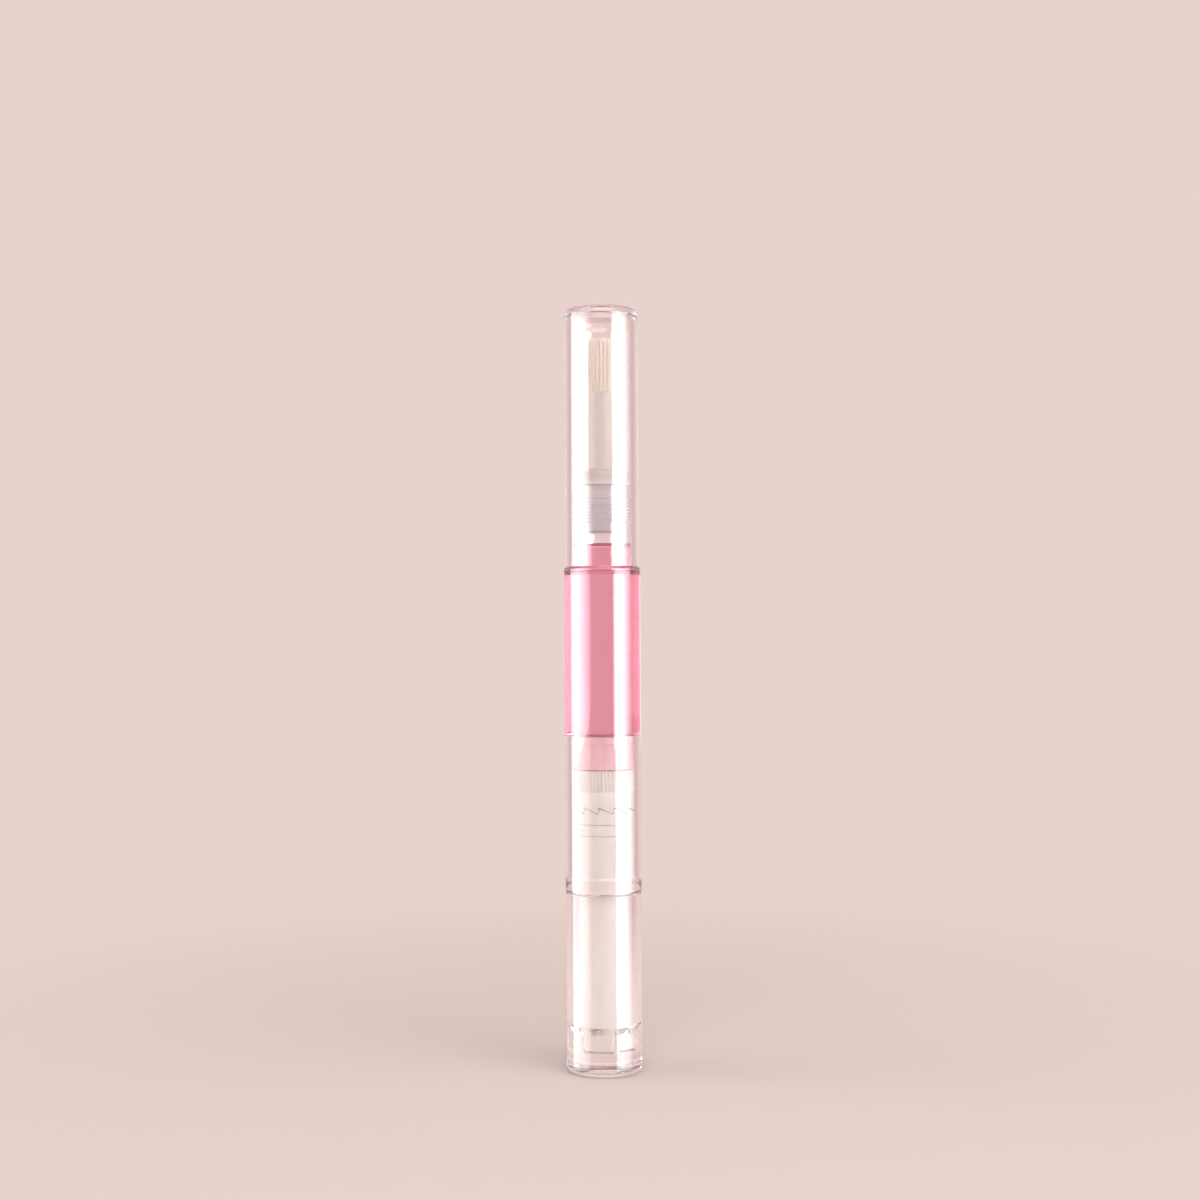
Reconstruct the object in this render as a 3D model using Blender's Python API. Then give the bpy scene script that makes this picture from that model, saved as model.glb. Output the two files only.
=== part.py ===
"""Twist-up cuticle oil pen, standing on its knob with the cap up.

The pen's axis is Z, and its origin is the middle of the knob's flat end. Turning the knob
counter-clockwise, seen from the cap, turns the drive core and the screw rod. The rod climbs
through the fixed nut sleeve and pushes the piston, and the piston pushes the oil to the brush.
"""

import math
import random

import bmesh
import bpy
from mathutils import Matrix

MM = 0.001

# General
fit_gap = 0.25 * MM  # room left between pieces that touch on the real pen
cut_overrun = 1.0 * MM  # how far a cutter reaches past the faces that it cuts
weld_distance = 0.002 * MM
smooth_angle = math.radians(35)

# Screw drive
screw_lead = 2.0 * MM  # how far the rod climbs in one turn
knob_turns = 12

# Screw rod. The shares are of its radius at the root of its thread
rod_flat_share = 0.846  # from the axis to each of the two flats
rod_neck_share = 0.59
rod_head_share = 0.872
rod_bevel = 0.4 * MM
thread_height = 0.4 * MM
rod_head_height = 1.5 * MM
rod_head_bevel = 0.45 * MM
rod_tail_room = 1.9 * MM  # under the tail, before the knob is turned
rod_tail_margin = 0.6 * MM  # how far the tail stays past the key at full travel

# Knob
knob_step = 0.08 * MM  # in from the barrel's outside
knob_wall = 1.8 * MM
knob_end_wall = 3.4 * MM
knob_round = 1.0 * MM
knob_rim_round = 0.2 * MM
knob_mouth_bevel = 0.3 * MM

# Drive core
core_floor = 3.85 * MM  # from the spigot's end to the floor of the rod's bore
core_seat_length = 8.5 * MM  # the part that turns in the barrel
core_bore_room = 0.4 * MM
core_vent_radius = 0.8 * MM
spigot_sides = 6
spigot_length = 2.3 * MM
spigot_taper = 1.2 * MM
spigot_corner_step = 0.17 * MM  # in from the core's outside
spigot_taper_step = 0.77 * MM  # in from the core's outside, at the taper's end
key_drop = 1.35 * MM  # how far the two-flat hole goes below the core's shoulder
collar_wall = 0.7 * MM
collar_bevel = 0.3 * MM
rib_depth = 0.45 * MM
rib_width = 0.9 * MM
rib_turns = (math.radians(45), math.radians(135))

# Snap bead of the core, in the barrel's groove
bead_depth = 0.4 * MM
bead_height = 0.8 * MM
bead_rise = 1.6 * MM  # from the barrel's rim
bead_flank = 0.3 * MM

# Ratchet teeth, and the click ring that carries the turning set
tooth_count = 14
tooth_height = 0.9 * MM
tooth_flank_share = 0.07  # the steep side's share of a tooth
tooth_turn = math.radians(5.6)
ring_wall = 0.8 * MM
ring_height = 3.2 * MM  # from its base to the valleys of its teeth
ring_columns_per_tooth = 4
slot_height = 0.35 * MM
slot_rises = (0.7 * MM, 1.5 * MM)
slot_bridge = 0.55 * MM  # wall that each slot leaves at its two bridges

# Nut sleeve
sleeve_length = 5.5 * MM  # from the crests of the ring's teeth to its top
sleeve_recess = 0.9 * MM  # from the crests of the ring's teeth up to its thread
sleeve_top_bevel = 0.25 * MM
spline_length = 3.2 * MM
spline_run_out = 0.3 * MM
spline_depth = 0.2 * MM
sleeve_columns_per_tooth = 8  # two columns make one spline

# Piston
piston_length = 4.75 * MM
piston_lip_height = 0.75 * MM
piston_lip_round = 0.25 * MM
piston_waist_depth = 0.35 * MM
piston_dish_depth = 0.35 * MM
piston_dish_wall = 0.9 * MM
piston_socket_lip = 0.85 * MM
piston_end_room = 0.5 * MM

# Barrel
barrel_radius = 5.7 * MM
barrel_wall = 1.0 * MM
barrel_rim_round = 0.2 * MM
barrel_mouth_bevel = 0.25 * MM
shoulder_wall = 0.6 * MM
shoulder_round = 0.5 * MM
bore_top_cone = 0.5 * MM
neck_wall = 0.6 * MM
neck_length = 12.1 * MM
neck_bevel = 0.2 * MM

# Brush holder
plug_length = 6.9 * MM
plug_bevel = 0.4 * MM
seal_height = 0.3 * MM
seal_count = 6
seal_pitch = 0.66 * MM
seal_foot_share = 0.4  # half of a sealing ring's foot, as a share of the pitch
seal_first_rise = 1.6 * MM  # from the plug's end
flange_step = 0.15 * MM  # in from the neck's outside
flange_thickness = 1.95 * MM
flange_bevel = 0.25 * MM
stem_radius = 2.0 * MM
stem_length = 11.7 * MM
stem_root_round = 0.5 * MM
feed_radius = 0.64 * MM
feed_mouth_radius = 0.95 * MM
feed_mouth_depth = 1.2 * MM
socket_wall = 0.2 * MM
socket_depth = 1.9 * MM

# Bristles
bristle_length = 8.3 * MM  # past the stem
bristle_sink = 0.4 * MM  # from the stem's end down to the slice that they are fused to
bristle_pitch = 0.147 * MM
bristle_inset = 0.012 * MM
bristle_tip_share = 0.55
bristle_flare = 0.1 * MM  # how far the tips spread past the stem's outside
bristle_dome = 0.35 * MM
bristle_uneven = 0.18 * MM
bristle_hole_radius = 0.3 * MM
bristle_seed = 7

# Cap
cap_step = 0.2 * MM  # in from the barrel's outside
cap_draft = 0.1 * MM  # how much narrower it is at its end
cap_wall = 1.0 * MM
cap_end_wall = 1.5 * MM
cap_round = 1.1 * MM
cap_rim_round = 0.2 * MM
cap_mouth_bevel = 0.2 * MM
cap_ceiling_round = 0.7 * MM
cap_tip_room = 2.9 * MM

# Facets
shell_columns = 36
inner_columns = 28
round_steps = 3

# Places along the axis, from the knob's flat end up
piston_stroke = screw_lead * knob_turns
spigot_end_z = knob_end_wall + fit_gap
core_floor_z = spigot_end_z + core_floor
rod_tail_z = core_floor_z + rod_tail_room
key_bottom_z = rod_tail_z + piston_stroke + rod_tail_margin
core_shoulder_z = key_bottom_z + key_drop
barrel_rim_z = core_shoulder_z - core_seat_length
knob_length = barrel_rim_z - fit_gap
ring_base_z = core_shoulder_z + fit_gap
seam_low_z = ring_base_z + ring_height
seam_high_z = seam_low_z + tooth_height
sleeve_top_z = seam_high_z + sleeve_length
piston_rear_z = sleeve_top_z + fit_gap
piston_front_z = piston_rear_z + piston_length
bore_top_z = piston_front_z + piston_stroke + piston_end_room
shoulder_z = bore_top_z + shoulder_wall
neck_top_z = shoulder_z + neck_length
plug_end_z = neck_top_z - plug_length
flange_base_z = neck_top_z + fit_gap
flange_top_z = flange_base_z + flange_thickness
stem_top_z = flange_top_z + stem_length
bristle_tip_z = stem_top_z + bristle_length
cap_rim_z = shoulder_z + fit_gap
cap_ceiling_z = bristle_tip_z + cap_tip_room
cap_end_z = cap_ceiling_z + cap_end_wall

# Radii, from the barrel's outside in, each from the piece that it fits
barrel_bore_radius = barrel_radius - barrel_wall
inner_radius = barrel_bore_radius - fit_gap
bead_radius = inner_radius + bead_depth
ring_bore_radius = inner_radius - ring_wall
collar_radius = ring_bore_radius - fit_gap
thread_bore_radius = collar_radius - collar_wall
thread_crest_radius = thread_bore_radius - fit_gap
rod_radius = thread_crest_radius - thread_height
rod_flat = rod_radius * rod_flat_share
rod_neck_radius = rod_radius * rod_neck_share
rod_head_radius = rod_radius * rod_head_share
key_flat = rod_flat + fit_gap
core_bore_radius = thread_crest_radius + core_bore_room
knob_radius = barrel_radius - knob_step
knob_bore_radius = knob_radius - knob_wall
core_tail_radius = knob_bore_radius - fit_gap
spigot_corner_radius = core_tail_radius - spigot_corner_step
spigot_taper_end_radius = core_tail_radius - spigot_taper_step
cap_radius = barrel_radius - cap_step
cap_end_radius = cap_radius - cap_draft
cap_bore_radius = cap_radius - cap_wall
neck_radius = cap_bore_radius - fit_gap
neck_bore_radius = neck_radius - neck_wall
flange_radius = neck_radius - flange_step
seal_radius = neck_bore_radius - fit_gap
plug_radius = seal_radius - seal_height
socket_radius = stem_radius - socket_wall
slice_radius = socket_radius - fit_gap
bristle_tip_radius = stem_radius + bristle_flare


def finish(name, colour, roughness, clear=0.0):
    """A plastic's material."""
    material = bpy.data.materials.new(name)
    material.use_nodes = True
    shader = material.node_tree.nodes["Principled BSDF"]
    shader.inputs["Base Color"].default_value = (*colour, 1.0)
    shader.inputs["Roughness"].default_value = roughness
    shader.inputs["Metallic"].default_value = 0.0
    shader.inputs["Transmission Weight"].default_value = clear
    return material


def arc(radius, height, size, start, end):
    """Points of a round edge in an outline, round the centre (radius, height), from one angle in degrees to another."""
    turns = [math.radians(start + (end - start) * step / round_steps) for step in range(round_steps + 1)]
    return [(radius + size * math.cos(turn), height + size * math.sin(turn)) for turn in turns]


def spun(outline, columns):
    """A closed body turned from an outline of (radius, height) points, whose two ends may lie on the axis."""
    mesh = bmesh.new()
    verts = [mesh.verts.new((radius, 0, height)) for radius, height in outline]
    pairs = list(zip(verts, verts[1:]))
    if outline[0][0] > 0:
        pairs.append((verts[-1], verts[0]))
    edges = [mesh.edges.new(pair) for pair in pairs]
    bmesh.ops.spin(
        mesh,
        geom=verts + edges,
        cent=(0, 0, 0),
        axis=(0, 0, 1),
        dvec=(0, 0, 0),
        angle=math.tau,
        steps=columns,
        use_merge=True,
    )
    bmesh.ops.remove_doubles(mesh, verts=mesh.verts, dist=weld_distance)
    bmesh.ops.recalc_face_normals(mesh, faces=mesh.faces)
    return mesh


def prism(radius, low, high, sides):
    """An upright prism between two heights, with a corner on +X."""
    mesh = bmesh.new()
    bmesh.ops.create_cone(
        mesh,
        cap_ends=True,
        segments=sides,
        radius1=radius,
        radius2=radius,
        depth=high - low,
        matrix=Matrix.Translation((0, 0, (low + high) / 2)),
    )
    return mesh


def bar(length, width, low, high, turn=0.0):
    """A flat bar across the axis, between two heights."""
    mesh = bmesh.new()
    place = Matrix.Rotation(turn, 4, "Z") @ Matrix.Translation((0, 0, (low + high) / 2))
    size = Matrix.Diagonal((length, width, high - low, 1))
    bmesh.ops.create_cube(mesh, size=1.0, matrix=place @ size)
    return mesh


def flatten(mesh, flat, high):
    """Two flats along X on a round shaft, up to a height."""
    for vert in mesh.verts:
        if vert.co.z < high + weld_distance:
            vert.co.y = max(-flat, min(flat, vert.co.y))


def cut_teeth(mesh, columns_per_tooth, turn):
    """Shapes the end at height 0 of a turned sleeve into teeth, which fall slowly counter-clockwise and jump back."""
    pitch = math.tau / tooth_count
    columns = columns_per_tooth * tooth_count
    for vert in mesh.verts:
        if abs(vert.co.z) < weld_distance:
            column = round(math.atan2(vert.co.y, vert.co.x) / math.tau * columns)
            tooth, step = divmod(column, columns_per_tooth)
            share = step / (columns_per_tooth - 1)
            angle = (tooth + share * (1 - tooth_flank_share)) * pitch + turn
            radius = math.hypot(vert.co.x, vert.co.y)
            vert.co.x = radius * math.cos(angle)
            vert.co.y = radius * math.sin(angle)
            vert.co.z = tooth_height * (1 - share)


def piece(name, mesh, parent, height=0.0, material=None):
    """An object made of the mesh, placed on the pen's axis."""
    data = bpy.data.meshes.new(name)
    mesh.to_mesh(data)
    mesh.free()
    data.shade_smooth()
    data.set_sharp_from_angle(angle=smooth_angle)
    made = bpy.data.objects.new(name, data)
    made.parent = parent
    made.location = (0, 0, height)
    if material:
        data.materials.append(material)
    bpy.context.scene.collection.objects.link(made)
    return made


def reshape(target, operation, name, mesh):
    """Adds the mesh's shape to a piece or cuts it out, by a hidden tool in the piece's own frame."""
    tool = piece(name, mesh, target)
    tool.hide_render = True
    tool.display_type = "WIRE"
    modifier = target.modifiers.new(name, "BOOLEAN")
    modifier.operation = operation
    modifier.solver = "EXACT"
    modifier.object = tool


def axis_empty(name, parent=None):
    """An empty on the pen's axis, which one moving group hangs from."""
    made = bpy.data.objects.new(name, None)
    made.parent = parent
    bpy.context.scene.collection.objects.link(made)
    return made


def make_barrel(parent):
    """Clear tube with a shoulder, a neck for the cap, and a groove that holds the drive core."""
    shoulder = shoulder_z - barrel_rim_z
    bore_top = bore_top_z - barrel_rim_z
    top = shoulder + neck_length
    groove_radius = bead_radius + fit_gap
    groove_low = bead_rise - fit_gap
    groove_high = bead_rise + bead_height + fit_gap
    outline = [
        (barrel_bore_radius + barrel_mouth_bevel, 0),
        (barrel_bore_radius, barrel_mouth_bevel),
        (barrel_bore_radius, groove_low),
        (groove_radius, groove_low + bead_flank),
        (groove_radius, groove_high - bead_flank),
        (barrel_bore_radius, groove_high),
        (barrel_bore_radius, bore_top - bore_top_cone),
        (barrel_bore_radius - bore_top_cone, bore_top),
        (neck_bore_radius, bore_top),
        (neck_bore_radius, top - neck_bevel),
        (neck_bore_radius + neck_bevel, top),
        (neck_radius - neck_bevel, top),
        (neck_radius, top - neck_bevel),
        (neck_radius, shoulder),
        *arc(barrel_radius - shoulder_round, shoulder - shoulder_round, shoulder_round, 90, 0),
        *arc(barrel_radius - barrel_rim_round, barrel_rim_round, barrel_rim_round, 0, -90),
    ]
    material = finish("clear barrel plastic", (0.93, 0.88, 0.9), 0.05, clear=1.0)
    return piece("barrel", spun(outline, shell_columns), parent, barrel_rim_z, material)


def make_cap(parent):
    """Clear cap with a round-edged flat end."""
    top = cap_end_z - cap_rim_z
    ceiling = cap_ceiling_z - cap_rim_z
    outline = [
        (0, ceiling),
        *arc(cap_bore_radius - cap_ceiling_round, ceiling - cap_ceiling_round, cap_ceiling_round, 90, 0),
        (cap_bore_radius, cap_mouth_bevel),
        (cap_bore_radius + cap_mouth_bevel, 0),
        *arc(cap_radius - cap_rim_round, cap_rim_round, cap_rim_round, -90, 0),
        *arc(cap_end_radius - cap_round, top - cap_round, cap_round, 0, 90),
        (0, top),
    ]
    material = finish("clear cap plastic", (0.93, 0.88, 0.9), 0.05, clear=1.0)
    return piece("cap", spun(outline, shell_columns), parent, cap_rim_z, material)


def make_knob(parent):
    """Clear thick-walled knob, closed below, with a six-sided socket at the bottom of its bore."""
    taper_low = spigot_end_z + spigot_length
    outline = [
        (0, taper_low),
        (spigot_taper_end_radius + fit_gap, taper_low),
        (knob_bore_radius, taper_low + spigot_taper),
        (knob_bore_radius, knob_length - knob_mouth_bevel),
        (knob_bore_radius + knob_mouth_bevel, knob_length),
        *arc(knob_radius - knob_rim_round, knob_length - knob_rim_round, knob_rim_round, 90, 0),
        *arc(knob_radius - knob_round, knob_round, knob_round, 0, -90),
        (0, 0),
    ]
    material = finish("clear knob plastic", (0.93, 0.88, 0.9), 0.05, clear=1.0)
    knob = piece("knob", spun(outline, shell_columns), parent, 0, material)
    socket_corner = spigot_corner_radius + fit_gap / math.cos(math.pi / spigot_sides)
    socket = prism(socket_corner, knob_end_wall, taper_low + spigot_taper, spigot_sides)
    reshape(knob, "DIFFERENCE", "spigot socket", socket)
    return knob


def make_drive_core(parent):
    """Milky tube that the knob turns. Its bore takes the rod's tail and its collar drives the rod and the click ring."""
    seat = barrel_rim_z - spigot_end_z
    shoulder = core_shoulder_z - spigot_end_z
    collar_top = seam_high_z - spigot_end_z
    key_bottom = key_bottom_z - spigot_end_z
    bead = seat + bead_rise
    taper_top = spigot_length + spigot_taper
    outline = [
        (0, spigot_length),
        (spigot_taper_end_radius, spigot_length),
        (core_tail_radius, taper_top),
        (core_tail_radius, seat),
        (inner_radius, seat),
        (inner_radius, bead),
        (bead_radius, bead + bead_flank),
        (bead_radius, bead + bead_height - bead_flank),
        (inner_radius, bead + bead_height),
        (inner_radius, shoulder),
        (collar_radius, shoulder),
        (collar_radius, collar_top - collar_bevel),
        (collar_radius - collar_bevel, collar_top),
        (0, collar_top),
    ]
    material = finish("milky core plastic", (0.8, 0.72, 0.67), 0.35)
    core = piece("drive_core", spun(outline, inner_columns), parent, spigot_end_z, material)
    reshape(core, "UNION", "spigot", prism(spigot_corner_radius, 0, taper_top, spigot_sides))
    rib_length = 2 * (collar_radius + rib_depth)
    rib_top = seam_low_z - spigot_end_z
    for number, turn in enumerate(rib_turns):
        rib = bar(rib_length, rib_width, key_bottom, rib_top, turn)
        reshape(core, "UNION", f"rib pair {number}", rib)
    bore = [
        (0, -cut_overrun),
        (core_vent_radius, -cut_overrun),
        (core_vent_radius, core_floor),
        (core_bore_radius, core_floor),
        (core_bore_radius, key_bottom),
        (0, key_bottom),
    ]
    reshape(core, "DIFFERENCE", "rod bore", spun(bore, inner_columns))
    key = prism(thread_bore_radius, key_bottom - cut_overrun, collar_top + cut_overrun, inner_columns)
    flatten(key, key_flat, collar_top + cut_overrun)
    reshape(core, "DIFFERENCE", "key hole", key)
    return core


def make_click_ring(parent):
    """Ring whose teeth ride up and click. Slots through its wall let it give, and four grooves take the core's ribs."""
    outline = [
        (ring_bore_radius, 0),
        (inner_radius, 0),
        (inner_radius, -ring_height),
        (ring_bore_radius, -ring_height),
    ]
    mesh = spun(outline, ring_columns_per_tooth * tooth_count)
    cut_teeth(mesh, ring_columns_per_tooth, tooth_turn)
    material = finish("milky ring plastic", (0.82, 0.74, 0.7), 0.35)
    ring = piece("click_ring", mesh, parent, seam_low_z, material)
    groove_length = 2 * (collar_radius + rib_depth + fit_gap)
    groove_width = rib_width + 2 * fit_gap
    for number, turn in enumerate(rib_turns):
        groove = bar(groove_length, groove_width, -ring_height - cut_overrun, tooth_height + cut_overrun, turn)
        reshape(ring, "DIFFERENCE", f"rib groove {number}", groove)
    reach = 2 * (inner_radius + cut_overrun)
    bridge_gap = 2 * (inner_radius - slot_bridge)
    for number, rise in enumerate(slot_rises):
        low = rise - ring_height
        slot = bar(reach, bridge_gap, low, low + slot_height, number * math.pi / 2)
        reshape(ring, "DIFFERENCE", f"spring slot {number}", slot)
    return ring


def make_nut_sleeve(parent):
    """Fixed sleeve that the rod climbs through, splined where it grips the barrel, with teeth on its lower end."""
    pitch = math.tau / tooth_count
    backlash = fit_gap / inner_radius
    tooth_room = fit_gap + tooth_height * backlash / (pitch * (1 - tooth_flank_share))
    base_z = seam_low_z + tooth_room
    top = sleeve_top_z - base_z
    recess = seam_high_z + sleeve_recess - base_z
    spline_low = top - spline_length
    outline = [
        (ring_bore_radius, 0),
        (inner_radius, 0),
        (inner_radius, spline_low),
        (inner_radius, spline_low + spline_run_out),
        (inner_radius, top - sleeve_top_bevel),
        (inner_radius - sleeve_top_bevel, top),
        (thread_bore_radius, top),
        (thread_bore_radius, recess),
        (ring_bore_radius, recess),
    ]
    columns = sleeve_columns_per_tooth * tooth_count
    mesh = spun(outline, columns)
    cut_splines(mesh, columns, spline_low)
    cut_teeth(mesh, sleeve_columns_per_tooth, tooth_turn - backlash)
    material = finish("milky sleeve plastic", (0.8, 0.7, 0.67), 0.35)
    return piece("nut_sleeve", mesh, parent, base_z, material)


def cut_splines(mesh, columns, low):
    """Draws in every second column of the sleeve's outside above a height."""
    for vert in mesh.verts:
        radius = math.hypot(vert.co.x, vert.co.y)
        column = round(math.atan2(vert.co.y, vert.co.x) / math.tau * columns)
        if column % 2 and vert.co.z > low + weld_distance and radius > inner_radius - weld_distance:
            vert.co.x *= 1 - spline_depth / radius
            vert.co.y *= 1 - spline_depth / radius


def make_piston(parent):
    """Plunger with two wiping lips, a dished front and a snap socket behind."""
    mouth_radius = rod_neck_radius + fit_gap
    chamber_radius = rod_head_radius + fit_gap
    chamber_top = piston_socket_lip + rod_head_height + 2 * fit_gap
    waist_radius = inner_radius - piston_waist_depth
    waist_low = piston_lip_height + piston_waist_depth
    dish_radius = inner_radius - piston_dish_wall
    outline = [
        (0, chamber_top),
        (chamber_radius, chamber_top),
        (chamber_radius, piston_socket_lip),
        (mouth_radius, piston_socket_lip),
        (mouth_radius, 0),
        (inner_radius - piston_lip_round, 0),
        (inner_radius, piston_lip_round),
        (inner_radius, piston_lip_height),
        (waist_radius, waist_low),
        (waist_radius, piston_length - waist_low),
        (inner_radius, piston_length - piston_lip_height),
        (inner_radius, piston_length - piston_lip_round),
        (inner_radius - piston_lip_round, piston_length),
        (dish_radius, piston_length),
        (dish_radius - piston_dish_depth, piston_length - piston_dish_depth),
        (0, piston_length - piston_dish_depth),
    ]
    material = finish("soft piston plastic", (0.86, 0.6, 0.6), 0.45)
    return piece("piston", spun(outline, inner_columns), parent, piston_rear_z, material)


def make_screw_rod(parent):
    """Rod with two flats, and a snap head that turns in the piston. Its thread is too fine for this model."""
    shaft_end = piston_rear_z - fit_gap - rod_tail_z
    head_base = piston_rear_z + piston_socket_lip + fit_gap - rod_tail_z
    head_top = head_base + rod_head_height
    outline = [
        (0, 0),
        (rod_radius - rod_bevel, 0),
        (rod_radius, rod_bevel),
        (rod_radius, shaft_end),
        (rod_neck_radius, shaft_end),
        (rod_neck_radius, head_base),
        (rod_head_radius, head_base),
        (rod_head_radius, head_top - rod_head_bevel),
        (rod_head_radius - rod_head_bevel, head_top),
        (0, head_top),
    ]
    mesh = spun(outline, inner_columns)
    flatten(mesh, rod_flat, shaft_end)
    material = finish("milky rod plastic", (0.82, 0.77, 0.73), 0.35)
    return piece("screw_rod", mesh, parent, rod_tail_z, material)


def make_oil_fill(parent):
    """The oil between the piston and the brush holder's plug."""
    base_z = piston_front_z + fit_gap
    shoulder = bore_top_z - fit_gap - base_z
    top = plug_end_z - fit_gap - base_z
    outline = [
        (0, 0),
        (inner_radius, 0),
        (inner_radius, shoulder - bore_top_cone),
        (inner_radius - bore_top_cone, shoulder),
        (seal_radius, shoulder),
        (seal_radius, top),
        (0, top),
    ]
    material = finish("pink oil", (0.77, 0.27, 0.33), 0.05)
    return piece("oil_fill", spun(outline, inner_columns), parent, base_z, material)


def make_brush_holder(parent):
    """Milky moulding: a plug with sealing rings, a flange on the neck and a stem, with a feed channel through it."""
    flange_base = flange_base_z - plug_end_z
    flange_top = flange_top_z - plug_end_z
    top = stem_top_z - plug_end_z
    seal_foot = seal_pitch * seal_foot_share
    outline = [
        (plug_radius - plug_bevel, 0),
        (plug_radius, plug_bevel),
    ]
    for number in range(seal_count):
        middle = seal_first_rise + number * seal_pitch
        outline += [
            (plug_radius, middle - seal_foot),
            (seal_radius, middle),
            (plug_radius, middle + seal_foot),
        ]
    outline += [
        (plug_radius, flange_base),
        (flange_radius - flange_bevel, flange_base),
        (flange_radius, flange_base + flange_bevel),
        (flange_radius, flange_top - flange_bevel),
        (flange_radius - flange_bevel, flange_top),
        *arc(stem_radius + stem_root_round, flange_top + stem_root_round, stem_root_round, 270, 180),
        (stem_radius, top),
        (socket_radius, top),
        (socket_radius, top - socket_depth),
        (feed_radius, top - socket_depth),
        (feed_radius, feed_mouth_depth),
        (feed_mouth_radius, 0),
    ]
    material = finish("milky holder plastic", (0.74, 0.66, 0.62), 0.3)
    return piece("brush_holder", spun(outline, inner_columns), parent, plug_end_z, material)


def lattice(pitch, least, most):
    """A flat sheet of three-sided faces, out to one radius and round a hole of another."""
    mesh = bmesh.new()
    rows = math.ceil(most / (pitch * math.sin(math.radians(60))))
    corners = {}
    for row in range(-rows, rows + 1):
        for column in range(-2 * rows, 2 * rows + 1):
            across = (column + row / 2) * pitch
            along = row * pitch * math.sin(math.radians(60))
            if least <= math.hypot(across, along) <= most:
                corners[column, row] = mesh.verts.new((across, along, 0))
    for column, row in corners:
        upward = (column, row), (column + 1, row), (column, row + 1)
        downward = (column + 1, row), (column + 1, row + 1), (column, row + 1)
        for trio in (upward, downward):
            if all(corner in corners for corner in trio):
                mesh.faces.new([corners[corner] for corner in trio])
    loose = [vert for vert in mesh.verts if not vert.link_faces]
    bmesh.ops.delete(mesh, geom=loose, context="VERTS")
    return mesh


def make_bristles(parent):
    """Tuft of straight filaments that spread a little, fused to the slice that seats in the stem."""
    chance = random.Random(bristle_seed)
    socket_floor_z = stem_top_z - socket_depth
    slice_top_z = stem_top_z - bristle_sink
    mesh = lattice(bristle_pitch, bristle_hole_radius, slice_radius)
    backing = bmesh.ops.extrude_face_region(mesh, geom=list(mesh.faces))
    sheet = [made for made in backing["geom"] if isinstance(made, bmesh.types.BMFace)]
    lowered = [vert for vert in mesh.verts if not any(face in sheet for face in vert.link_faces)]
    bmesh.ops.translate(mesh, vec=(0, 0, socket_floor_z + fit_gap - slice_top_z), verts=lowered)
    roots = [face for face in sheet if points_up(face)]
    bmesh.ops.inset_individual(mesh, faces=roots, thickness=bristle_inset)
    grown = bmesh.ops.extrude_discrete_faces(mesh, faces=roots)
    spread = bristle_tip_radius / slice_radius
    for tip in grown["faces"]:
        root = tip.calc_center_median()
        out = math.hypot(root.x, root.y) / slice_radius
        length = bristle_tip_z - slice_top_z - bristle_dome * out**2 - bristle_uneven * chance.random()
        for vert in tip.verts:
            offset = (vert.co - root) * bristle_tip_share
            vert.co = (root.x * spread + offset.x, root.y * spread + offset.y, length)
    bmesh.ops.recalc_face_normals(mesh, faces=mesh.faces)
    material = finish("cream nylon", (0.85, 0.72, 0.58), 0.5)
    return piece("bristles", mesh, parent, slice_top_z, material)


def points_up(face):
    """True for the half of the lattice's faces that filaments grow from."""
    heights = sorted(vert.co.y for vert in face.verts)
    return heights[1] - heights[0] < heights[2] - heights[1]


def build():
    for old in list(bpy.data.objects):
        bpy.data.objects.remove(old, do_unlink=True)
    pen = axis_empty("pen")
    cap_slide = axis_empty("cap slide", pen)
    knob_turn = axis_empty("knob turn", pen)
    rod_travel = axis_empty("rod travel", knob_turn)
    piston_travel = axis_empty("piston travel", pen)
    make_barrel(pen)
    make_nut_sleeve(pen)
    make_oil_fill(pen)
    make_brush_holder(pen)
    make_bristles(pen)
    make_cap(cap_slide)
    make_knob(knob_turn)
    make_drive_core(knob_turn)
    make_click_ring(knob_turn)
    make_screw_rod(rod_travel)
    make_piston(piston_travel)


build()
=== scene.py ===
"""Looks of a twist-up cuticle oil pen, laid out as a Blender add-on.

Each operator dresses one piece of the pen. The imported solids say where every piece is.
"""

import math
import random

import bmesh
import bpy
from mathutils import Matrix, Vector


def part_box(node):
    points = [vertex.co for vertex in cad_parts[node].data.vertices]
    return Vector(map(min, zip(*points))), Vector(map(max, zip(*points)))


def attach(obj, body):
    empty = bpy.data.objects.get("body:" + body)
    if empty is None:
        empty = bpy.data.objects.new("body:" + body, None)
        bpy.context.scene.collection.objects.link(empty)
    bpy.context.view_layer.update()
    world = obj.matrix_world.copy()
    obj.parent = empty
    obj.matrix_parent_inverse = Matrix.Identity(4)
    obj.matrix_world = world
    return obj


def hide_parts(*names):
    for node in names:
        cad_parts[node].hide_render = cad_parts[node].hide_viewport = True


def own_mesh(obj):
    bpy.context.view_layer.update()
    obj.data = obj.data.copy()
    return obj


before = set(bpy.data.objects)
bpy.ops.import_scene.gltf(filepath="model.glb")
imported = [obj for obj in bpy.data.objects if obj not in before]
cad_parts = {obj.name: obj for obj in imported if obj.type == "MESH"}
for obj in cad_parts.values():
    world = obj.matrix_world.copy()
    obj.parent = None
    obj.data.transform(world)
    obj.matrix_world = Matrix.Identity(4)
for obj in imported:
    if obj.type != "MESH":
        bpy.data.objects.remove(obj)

bl_info = {
    "name": "Twist-up Oil Pen",
    "version": (1, 0, 0),
    "blender": (4, 5, 0),
    "location": "3D View > Sidebar > Oil Pen",
    "description": "Dresses a clear twist-up cuticle oil pen piece by piece",
    "category": "Add Mesh",
}

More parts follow.
